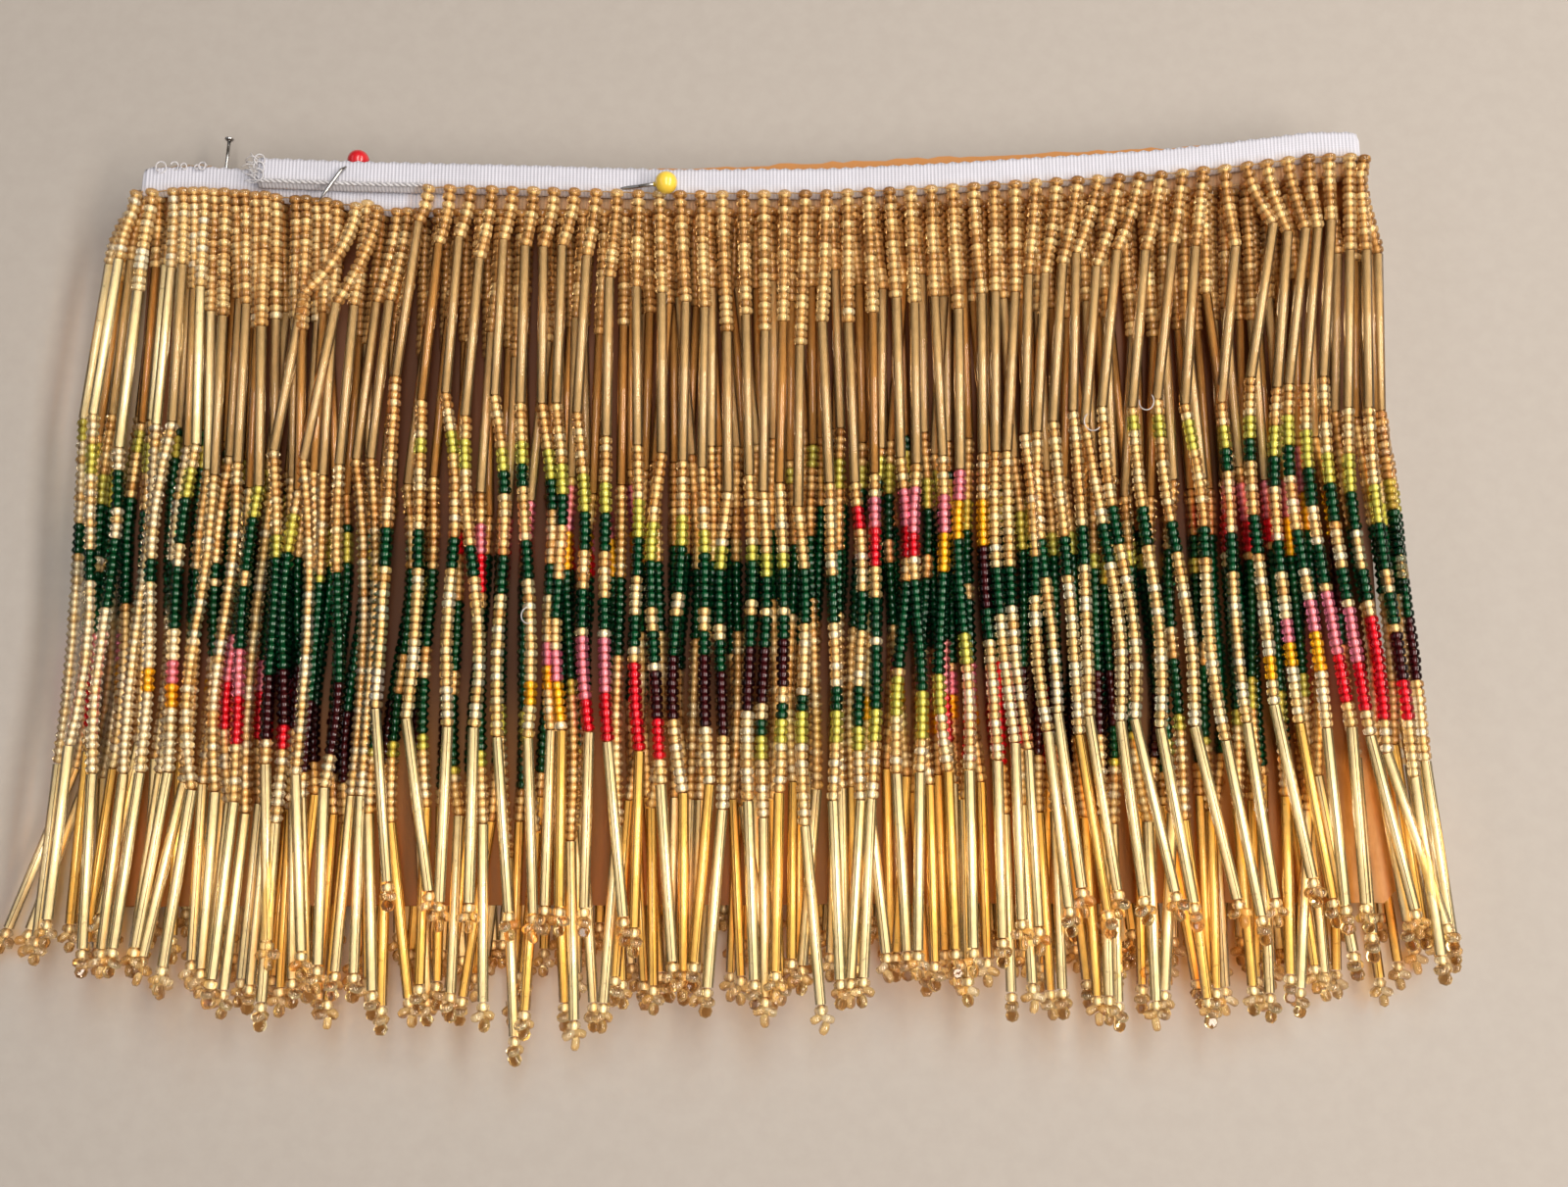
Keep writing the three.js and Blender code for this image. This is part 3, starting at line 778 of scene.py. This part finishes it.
def strungTree(name, materials):
    g, given, result = newGroup(
        name, "GeometryNodeTree",
        {"Geometry": None, "Sides": 8, "Bands": 3, "Radius": 0.001, "Length": 0.0014, "Roundness": 0.4},
        {"Geometry": "Geometry"})

    def named(label, kind):
        return g.add("GeometryNodeInputNamedAttribute", {"Name": label}, data_type=kind)

    piece = g.add("GeometryNodeMeshCylinder", {
        "Vertices": given["Sides"], "Side Segments": given["Bands"], "Radius": given["Radius"],
        "Depth": given["Length"],
    }, fill_type="NGON")
    # rings are spread towards the ends, which draw in
    at = g.add("ShaderNodeSeparateXYZ", {"Vector": g.add("GeometryNodeInputPosition")}).outputs
    half = g.times(given["Length"], 0.5)
    share = g.math("DIVIDE", at["Z"], half)
    outward = g.math("POWER", g.math("ABSOLUTE", share), strung["ringSpread"])
    drawn = g.times(given["Roundness"], g.math("POWER", outward, strung["roundPower"]))
    width = g.math("SUBTRACT", 1.0, drawn)
    moved = g.add("ShaderNodeCombineXYZ", {
        "X": g.times(at["X"], width), "Y": g.times(at["Y"], width),
        "Z": g.times(g.times(g.math("SIGN", share), outward), half),
    })
    shaped = g.add("GeometryNodeSetPosition", {"Geometry": piece, "Position": moved})
    # the attribute end rises over each bead's last stretch, where painted shade darkens the glass at the joints
    marked = g.add("GeometryNodeStoreNamedAttribute", {
        "Geometry": shaped, "Name": "end", "Value": g.ramp(outward, strung["jointShadeFrom"], 1.0),
    }, data_type="FLOAT", domain="POINT")
    smooth = g.add("GeometryNodeSetShadeSmooth", {"Geometry": marked, "Selection": piece.outputs["Side"]})
    turned = g.add("FunctionNodeAlignRotationToVector", {"Vector": named("direction", "FLOAT_VECTOR")}, axis="Z")
    size = named("size", "FLOAT")
    copies = g.add("GeometryNodeInstanceOnPoints", {
        "Points": given["Geometry"], "Instance": smooth, "Rotation": turned,
        "Scale": g.add("ShaderNodeCombineXYZ", {"X": size, "Y": size, "Z": 1.0}),
    })
    last = g.add("GeometryNodeRealizeInstances", {"Geometry": copies})
    for number, material in enumerate(materials):
        same = g.add("FunctionNodeCompare", {2: named("tint", "INT"), 3: number}, data_type="INT", operation="EQUAL")
        last = g.add("GeometryNodeSetMaterial", {"Geometry": last, "Selection": same, "Material": material})
    g.feed(result, {"Geometry": last})
    return g.tree


# A thin lining runs through the beads' holes, along each strand.
def liningTree(name, material):
    g, given, result = newGroup(
        name, "GeometryNodeTree", {"Geometry": None, "Sides": 6, "Radius": 0.0003}, {"Geometry": "Geometry"})
    curve = g.add("GeometryNodeMeshToCurve", {"Mesh": given["Geometry"]})
    ring = g.add("GeometryNodeCurvePrimitiveCircle", {"Resolution": given["Sides"], "Radius": given["Radius"]})
    hose = g.add("GeometryNodeCurveToMesh", {"Curve": curve, "Profile Curve": ring, "Fill Caps": True})
    real = g.add("GeometryNodeRealizeInstances", {"Geometry": hose})
    g.feed(result, {"Geometry": g.add("GeometryNodeSetMaterial", {"Geometry": real, "Material": material})})
    return g.tree


def linesMesh(lines):
    places, edges, beads = [], [], []
    for line in lines:
        edges += [(len(places) + i, len(places) + i + 1) for i in range(len(line) - 1)]
        places += [placeAbove(at) for at, bead in line]
        beads += [bead for at, bead in line]
    return pointMesh(places, edges, [("bead", "FLOAT", beads)])


def glassOf(glasses, clear, roughness, waviness, jointShadeDepth):
    return [glassMaterial(name, *tints, clear, roughness, waviness, jointShadeDepth) for name, tints in glasses.items()]


def threadOf(name, colour, shade, roughness, bump):
    return grainyMaterial(name, {"colour": colour, "shade": shade, "grain": 1500.0, "roughness": roughness,
                                 "bump": bump})[0]


linings = {name: liningMaterial(name, *look) for name, look in liningLooks.items()}
trees = {name: strungTree(name, materials) for name, materials in {
    "top_beads": glassOf(clearGlass, 0.72, 0.05, 0.5, 0.7),
    "pattern_beads": glassOf(beadGlass, 0.88, 0.03, 0.5, 0.9),
    "bugles": glassOf(bugleGlass, 0.95, 0.03, 0.2, 0.0),
    "picots": glassOf(picotGlass, 0.9, 0.03, 0.6, 0.9),
    "bugle_linings": [linings["lining in painted shade"], linings["lining in painted light"]] * 2,
    "threads": [threadOf("beading thread", (0.14, 0.09, 0.05), (0.06, 0.035, 0.02), 0.8, 0.4)],
}.items()}
trees["bead_linings"] = liningTree("bead_linings", linings["bead lining"])

# how finely each course is cut: sides and bands of its beads, sides of its bugles and of its linings
finish = {
    "front_outer": ((8, 3), (8, 3), 12, 6),
    "back_outer": ((6, 2), (6, 2), 8, 4),
    "front_middle": ((8, 3), (8, 2), 10, 6),
    "back_inner": ((6, 2), (6, 2), 8, 4),
    "front_inner": ((6, 3), (6, 3), 8, 5),
}


def buildCourse(course, index):
    top, mid, bugles, threads, tips, lines = stringCourse(course, index)
    topCut, midCut, bugleSides, liningSides = finish[course.name]
    # a bead of few sides is drawn wider, to look as wide as a round one
    wide = 2 / (1 + math.cos(math.pi / topCut[0]))
    bead = (strung["beadLength"], strung["roundness"])
    bugle, within = (strung["bugleLength"], 0.0), (strung["bugleLength"] - 0.2, 0.0)
    for label, source, (sides, bands), radius, (length, roundness) in (
        ("top_beads", top.mesh(), topCut, strung["topRadius"] * wide, bead),
        ("pattern_beads", mid.mesh(), midCut, strung["beadRadius"] * wide, bead),
        ("bugles", bugles.mesh(), (bugleSides, 1), strung["bugleRadius"], bugle),
        ("picots", tips.mesh(), topCut, strung["picotRadius"], bead),
        ("bugle_linings", bugles.mesh(), (8, 1), strung["bugleLiningRadius"], within),
        ("threads", threads.mesh(), (4, 1), strung["threadRadius"], within),
        ("bead_linings", linesMesh(lines), (liningSides, 0), strung["liningRadius"], within),
    ):
        values = {"Sides": sides, "Bands": bands, "Radius": radius * mm, "Length": length * mm,
                  "Roundness": roundness}
        fit(plainMesh(label + "_" + course.name, source, trees[label], values), "fringe_" + course.name)
    print("strung", course.name)


for index, course in enumerate(courses):
    buildCourse(course, index)


# ---- tape

tapeLook = {
    "colour": (0.57, 0.57, 0.65),
    "shade": (0.44, 0.435, 0.5),
    "lowEdgeTone": (0.46, 0.43, 0.44),
    # painted shade, amber-brown, on the tape where the outer courses cover it
    "coveredShade": (0.34, 0.2, 0.09),
    "ribPitch": 0.66, "pickPitch": 0.45, "ribDepth": 0.5, "scallop": 0.14,
}


# Ribs across the tape and picks along it, from the attributes "along" and "across", in millimetres.
def wovenGroup():
    g, given, result = newGroup("woven ribs", "ShaderNodeTree", {"Rib Pitch": 0.7, "Pick Pitch": 0.4},
                                {"Height": "Float", "Edge": "Float"})
    across = g.attribute("across")
    waves = []
    for at, pitch, share in ((g.attribute("along"), "Rib Pitch", 0.85), (across, "Pick Pitch", 0.15)):
        turns = g.times(g.math("DIVIDE", at, given[pitch]), 2 * math.pi)
        waves.append(g.times(g.times(g.math("ADD", g.math("SINE", turns), 1.0), 0.5), share))
    g.feed(result, {"Height": g.math("ADD", *waves), "Edge": g.ramp(across, 2.4, 0.6)})
    return g.tree


def tapeMaterialOf(look):
    material, g, shader = newMaterial("woven tape")
    woven = g.group(wovenGroup(), {"Rib Pitch": look["ribPitch"], "Pick Pitch": look["pickPitch"]}).outputs
    worn = g.group(grain, {"Color": look["colour"], "Shade": [0.88 * c for c in look["colour"]],
                           "Grain per metre": 260.0, "Roughness": 0.8}).outputs
    # the ribs' hollows take the darker shade colour: painted shade in the weave
    ribs = g.mix(woven["Height"], look["shade"], worn["Color"])
    # darker towards the tape's lower edge
    lowEdgeToned = g.mix(g.times(woven["Edge"], 0.6), ribs, look["lowEdgeTone"])
    # painted shade on the tape under the outer courses, at nine tenths
    coveredShade = g.times(g.attribute("coveredShade"), 0.9)
    g.feed(shader, {
        "Base Color": g.mix(coveredShade, lowEdgeToned, look["coveredShade"]), "Roughness": worn["Roughness"],
        "Sheen Weight": 0.15, "Normal": g.bump(woven["Height"], look["ribDepth"]),
    })
    return material


def buildTape():
    stops = []
    for index, course in enumerate(courses):
        start = (tape["start"] - course.start) * course.dir if index == 0 else 0.5
        end = courseLength(course) - (0 if index == len(courses) - 1 else 0.5)
        count = round((end - start) / tape["step"])
        for i in range(count + 1):
            at = onCourse(course, start + (end - start) * i / count)
            # the inner courses, and the middle course where the outer one lies over it, take painted shade
            coveredShade = index > 2 or index == 2 and at.x > courses[0].start + 6
            stops.append((Vector((at.x, 0, at.z)), at.normal, at.top, coveredShade))
    bm = bmesh.new()
    layers = [bm.verts.layers.float.new(label) for label in ("along", "across", "coveredShade")]
    total, rings, rows = 0, [], tape["rows"]
    for number, (at, normal, top, coveredShade) in enumerate(stops):
        if number:
            total += (at - stops[number - 1][0]).length
        scallop = tapeLook["scallop"] * (1 if number % 2 else -1) * (0.6 + 0.8 * hash01(number, 81))
        facing = 1 - abs(normal.x)
        ring = []
        for side, steps in ((1, range(rows + 1)), (-1, range(rows, -1, -3))):
            for j in steps:
                v = j / rows
                off = side * tape["thickness"] / 2 * (1 if 0 < j < rows else tape["edgeShare"])
                off -= tape["tuck"] * facing * max(0.0, 1 - v / tape["tuckReach"]) ** 2
                off += tape["ripple"] * math.sin(0.35 * total + 2 * v) * (1 - v) if side == 1 else 0
                high = top - tape["height"] * (1 - v) + (scallop if j == rows else 0)
                high -= tape["turnDrop"] * v * abs(normal.x)
                vertex = bm.verts.new(place((at.x + off * normal.x, high, at.z + off * normal.z)))
                for layer, value in zip(layers, (total, tape["height"] * v, coveredShade)):
                    vertex[layer] = value
                ring.append(vertex)
        rings.append(ring)
    tube(bm, rings)
    fit(pieceOf("woven_tape", bm, tapeMaterialOf(tapeLook)), "header_tape")


buildTape()


# ---- the sewing on the tape, and the fray at its ends

sewing = {
    "stitch": 1.9, "threadRadius": 0.13, "threadRise": 0.5, "plyRadius": 0.24, "plyPitch": 2.3,
    "plyStep": 0.205, "plySteps": 150, "fibreRadius": 0.07, "fibres": 26, "frayReach": 2.2,
}
goldThread = threadOf("header thread", (0.42, 0.27, 0.12), (0.25, 0.14, 0.05), 0.7, 0.4)
whiteThread = threadOf("white thread", (0.56, 0.55, 0.58), (0.4, 0.38, 0.4), 0.8, 0.5)


# The thread that carries the strands runs low along the tape's face, dipping in between them.
def headerThread(course):
    steps = math.floor(courseLength(course) / sewing["stitch"])
    run = []
    for i in range(steps + 1):
        at = onCourse(course, 0.3 + (courseLength(course) - 0.6) * i / steps)
        rise = sewing["threadRise"] + (0.12 if i % 2 else 0)
        run.append(((at.x + rise * at.normal.x, at.top - tape["height"] + 0.55 - 0.25 * (i % 2),
                     at.z + rise * at.normal.z), sewing["threadRadius"]))
    return run


def curl(centre, radius, turns, climb, seed, size, steps=14):
    run = []
    for i in range(steps + 1):
        angle = 2 * math.pi * turns * i / steps + 6 * hash01(seed, 82)
        run.append(((centre[0] + radius * math.cos(angle), centre[1] + radius * math.sin(angle) * 1.2,
                     centre[2] + climb * i / steps), size))
    return run


def frayOf(x, y, z, reach, count, seed):
    runs = []
    for n in range(seed, seed + count):
        start = Vector((x + 0.6 * hash01(n, 83), y + 5.0 * swing(n, 84), z + 0.5 * swing(n, 85)))
        out = Vector((-reach * (0.4 + 0.8 * hash01(n, 86)), 2.4 * (hash01(n, 87) - 0.4), 1.4 * hash01(n, 88)))
        bend = Vector((0, 1.6 * swing(n, 89), 0.5))
        runs.append([(start + out * k / 5 + bend * math.sin(math.pi * k / 5), sewing["fibreRadius"])
                     for k in range(6)])
    return runs


def buildSewing():
    fit(sweep("header_threads", [headerThread(course) for course in courses], 5, goldThread), "header_tape")
    outer, middle = courses[0], courses[2]
    plies = []
    for ply in (0, math.pi):
        run = []
        for i in range(sewing["plySteps"]):
            x = tape["start"] + 0.8 + i * sewing["plyStep"]
            angle = 2 * math.pi * x / sewing["plyPitch"] + ply
            y = lookUp(tapeTop["front_outer"], x) - tape["height"] + 0.9
            run.append(((x, y + 0.2 * math.cos(angle), outer.z + 0.45 + 0.2 * math.sin(angle)),
                        sewing["plyRadius"]))
        plies.append(run)
    left = lookUp(tapeTop["front_outer"], tape["start"])
    fray = frayOf(tape["start"], left - 2.4, outer.z, sewing["frayReach"], sewing["fibres"], 300)
    loops = [curl((-109.6 + 1.9 * i + 1.2 * hash01(i, 90), 65.7 + 0.5 * hash01(i, 95), middle.z + 0.2),
                  0.45 + 0.45 * hash01(i, 96), 0.8 + 0.4 * hash01(i, 97), 0.8, i, 0.15) for i in range(5)]
    loops += [curl((tape["start"] + 0.4, left - 0.6 - 1.5 * i, outer.z + 0.3), 0.9, 0.9, 0.8, 9 + i, 0.16)
              for i in range(3)]
    fit(sweep("tape_end_sewing", plies + fray + loops, 5, whiteThread), "header_tape")
    curls = [curl((61.8, 14.5, 14.4), 1.5, 0.55, 1.2, 21, 0.11), curl((71.5, 18, 14.4), 1.2, 0.7, 1.4, 22, 0.11),
             curl((-38, -20, 14.4), 1.3, 0.6, 1.2, 23, 0.1)]
    fit(sweep("thread_ends", curls, 5, whiteThread), "fringe_front_outer")


buildSewing()
print("tape and sewing made")


# ---- the card: two liners with a fluted sheet between them

board = {
    "linerThickness": 0.4, "sheetThickness": 0.36, "flutePitch": 5.4, "fluteSteps": 8,
    "fluteInset": 1, "tear": 0.5, "footTear": 0.25, "sheetTear": 0.6, "step": 2.0,
}
kraftLook = {
    "colour": (0.44, 0.25, 0.115),
    "shade": (0.3, 0.15, 0.06),
    "grain": 420.0,
    "stretch": (1.0, 0.35, 1.0),
    "roughness": 0.85,
    "bump": 0.35,
    # painted shade on the board among the strands: darkest among the beads, lighter under the lower bugles
    "shadeAmongStrands": (0.075, 0.025, 0.008),
    "shadeAmongBugles": (0.15, 0.058, 0.014),
    "tornEdge": (0.46, 0.2, 0.06),
    # where each tone begins and where it is full, for the painted shade and the torn edge: along Y, and along X for
    # the bare corner
    "fromTape": (59, 56),
    "fromCorner": (106, 102),
    "fromFoot": (-49, -43),
    "fromBugles": (-44, -26),
    "torn": (61.5, 63),
}


# Kraft board: fibres, the shadow of each flute by bump, and a painted shade, deep among the strands.
def kraftMaterial(look):
    material, g, shader, worn, bump = grainyMaterial("kraft board", look)
    split = g.add("ShaderNodeSeparateXYZ", {"Vector": g.objectPlace()}).outputs
    wave = g.times(g.math("SINE", g.times(split["X"], 2 * math.pi / (board["flutePitch"] * mm))), 0.25)
    g.feed(bump, {"Height": g.math("ADD", worn["Height"], wave)})

    def tone(axis, ends, kind="SMOOTHSTEP"):
        low, high = (place((v, v, 0))["XY".index(axis)] for v in ends)
        return g.ramp(split[axis], low, high, kind)

    # painted shade over the board below the tape, all but its bare bottom right corner
    coveredShade = g.math("MAXIMUM", tone("X", look["fromCorner"]), tone("Y", look["fromFoot"]))
    shadeTones = g.mix(tone("Y", look["fromBugles"]), look["shadeAmongBugles"], look["shadeAmongStrands"])
    under = g.mix(g.times(tone("Y", look["fromTape"]), coveredShade), worn["Color"], shadeTones)
    g.feed(shader, {"Base Color": g.mix(tone("Y", look["torn"], "LINEAR"), under, look["tornEdge"])})
    return material


def cardTop(x):
    share = (x + card["halfLength"]) / (2 * card["halfLength"])
    return card["topLeft"] + share * (card["topRight"] - card["topLeft"])


def buildCard():
    bm = bmesh.new()
    half, cut, bottom, liner = card["halfLength"], card["cornerCut"], card["bottom"], board["linerThickness"]
    count = round(2 * (half - cut) / board["step"])
    xs = [-half + cut + 2 * (half - cut) * i / count for i in range(count + 1)]
    for number, low in enumerate((card["underside"], card["underside"] + card["thickness"] - liner)):
        outline = [(-half, bottom + cut), (-half + cut, bottom)]
        outline += [(x, bottom + board["footTear"] * hash01(i + 300 * number, 92)) for i, x in enumerate(xs[1:-1])]
        outline += [(half - cut, bottom), (half, bottom + cut), (half, card["topRight"] - cut)]
        outline += [(x, cardTop(x) - board["tear"] * hash01(i + 500 * number, 93))
                    for i, x in reversed(list(enumerate(xs)))]
        outline += [(-half, card["topLeft"] - cut)]
        tube(bm, [[bm.verts.new(place((x, y, z))) for x, y in outline] for z in (low, low + liner)])
    # the fluted sheet
    rings, thin, inset, pitch = [], board["sheetThickness"] / 2, board["fluteInset"], board["flutePitch"]
    rise = card["thickness"] / 2 - liner - thin - 0.04
    steps = round(2 * (half - inset) / pitch * board["fluteSteps"])
    for i in range(steps + 1):
        x = -half + inset + 2 * (half - inset) * i / steps
        z = card["underside"] + card["thickness"] / 2 + rise * math.sin(2 * math.pi * x / pitch)
        low, high = bottom + 0.5, cardTop(x) - board["sheetTear"] * (1 + hash01(i, 94))
        corners = ((low, z - thin), (high, z - thin), (high, z + thin), (low, z + thin))
        rings.append([bm.verts.new(place((x, *corner))) for corner in corners])
    tube(bm, rings)
    fit(pieceOf("winding_card", bm, kraftMaterial(kraftLook), smooth=False), "card")


buildCard()
print("card made")


# ---- pins

pins = {
    "wireRadius": 0.33, "ballRadius": 2.05, "neckRadius": 0.5, "pointRadius": 0.03,
    "pointLength": 3.0,
    "yellow": {"head": (-14.6, 59.9, 16.4), "tip": (-44, 60.6, 6.2)},
    "red": {"head": (-72.8, 67.2, 11), "bend": (-74.9, 63.6, 14.7), "tip": (-79, 57.3, 14.6)},
    "plain": {"head": (-99.1, 74.4, 6.1), "tip": (-100.2, 50, 6.1), "headRadius": 0.9, "headThickness": 0.5},
}
pinLooks = {
    "drawn steel": {"colour": (0.55, 0.54, 0.53), "shade": (0.38, 0.37, 0.37), "grain": 900.0, "metallic": 1.0,
                    "stretch": (1.0, 0.1, 1.0), "roughness": 0.28, "bump": 0.08},
    "yellow plastic": {"colour": (0.86, 0.6, 0.07), "shade": (0.8, 0.52, 0.05), "grain": 500.0, "coat": 0.6,
                       "roughness": 0.3, "bump": 0.03},
    "red plastic": {"colour": (0.56, 0.012, 0.02), "shade": (0.48, 0.008, 0.015), "grain": 500.0, "coat": 0.6,
                    "roughness": 0.3, "bump": 0.03},
}


# A pin's wire from under its head to a fine point.
def wireRun(pin):
    stops = [Vector(pin[key]) for key in ("head", "bend", "tip") if key in pin]
    run = []
    for a, b in zip(stops, stops[1:]):
        last = b is stops[-1]
        for k in range(7):
            share = k / 6
            if last and k < 6:
                share = min(1.0, k / 5 * (1 - pins["pointLength"] / (b - a).length))
            at = a.lerp(b, share)
            if not run or (at - run[-1][0]).length >= 0.05:
                run.append((at, pins["pointRadius"] if last and k == 6 else pins["wireRadius"]))
    return run


# A moulded ball with the small neck that grips the wire.
def ballRun(pin):
    centre = Vector(pin["head"])
    toward = (Vector(pin.get("bend", pin["tip"])) - centre).normalized()
    radius = pins["ballRadius"]
    angles = [math.pi * (0.02 + 0.92 * k / 16) for k in range(17)]
    run = [(centre - toward * radius * math.cos(a), radius * math.sin(a)) for a in angles]
    return run + [(centre + toward * (radius + 0.35), pins["neckRadius"])]


def flatHeadRun(pin):
    head = Vector(pin["head"])
    toward = (Vector(pin["tip"]) - head).normalized()
    wide, deep = pin["headRadius"], pin["headThickness"]
    return [(head, wide * 0.55), (head + toward * 0.1, wide * 0.9), (head + toward * deep * 0.5, wide),
            (head + toward * deep, wide * 0.8), (head + toward * (deep + 0.2), pins["wireRadius"] * 1.2)]


pinMaterials = {name: grainyMaterial(name, look)[0] for name, look in pinLooks.items()}
steel = pinMaterials["drawn steel"]
for colour in ("yellow", "red"):
    node, pin = "pin_" + colour, pins[colour]
    fit(sweep(colour + "_pin_ball", [ballRun(pin)], 24, pinMaterials[colour + " plastic"]), node)
    fit(sweep(colour + "_pin_wire", [wireRun(pin)], 10, steel), node)
fit(sweep("plain_pin", [wireRun(pins["plain"]), flatHeadRun(pins["plain"])], 12, steel), "pin_plain")
print("pins made")


# ---- floor, light and camera

floorMesh = bpy.data.meshes.new("floor")
floorMesh.from_pydata([(-3, -3, -0.0003), (3, -3, -0.0003), (3, 3, -0.0003), (-3, 3, -0.0003)], [], [(0, 1, 2, 3)])
floorMesh.materials.append(grainyMaterial("studio floor", {
    "colour": (0.36, 0.325, 0.3), "shade": (0.345, 0.31, 0.285), "grain": 300.0, "roughness": 0.85, "bump": 0.05,
})[0])
linked("floor", floorMesh)


def addLight(name, at, size, power, colour):
    data = bpy.data.lights.new(name, "AREA")
    data.shape = "RECTANGLE"
    data.size, data.size_y = size
    data.energy = power
    data.color = colour
    lamp = linked(name, data)
    lamp.location = at
    lamp.rotation_euler = (0, math.atan2(at[0], at[2]), 0)


# The strips run along the strands, so that each bead and bugle carries an even streak.
addLight("overhead strip", (0.1, -0.05, 0.95), (0.26, 1.5), 9.0, (1.0, 0.97, 0.92))
addLight("key strip", (0.7, -0.05, 0.7), (0.16, 1.5), 14.0, (1.0, 0.93, 0.82))
addLight("window fill", (-0.8, -0.05, 0.65), (0.2, 1.5), 1.2, (0.84, 0.91, 1.0))

world = bpy.data.worlds.new("studio")
bpy.context.scene.world = world
world.use_nodes = True
Graph(world.node_tree).feed(world.node_tree.nodes["Background"], {"Color": (0.85, 0.66, 0.46), "Strength": 0.09})

cameraData = bpy.data.cameras.new("camera")
cameraData.lens = 38.25
cameraData.sensor_width = 36
camera = linked("camera", cameraData)
turn = Matrix.Rotation(-0.003, 3, "Z") @ Matrix.Rotation(0.0123, 3, "Y") @ Matrix.Rotation(0.1865, 3, "X")
camera.matrix_world = Matrix.Translation(place((10.07, -70.49, 301.55))) @ turn.to_4x4()
bpy.context.scene.camera = camera
bpy.context.scene.view_settings.view_transform = "Standard"
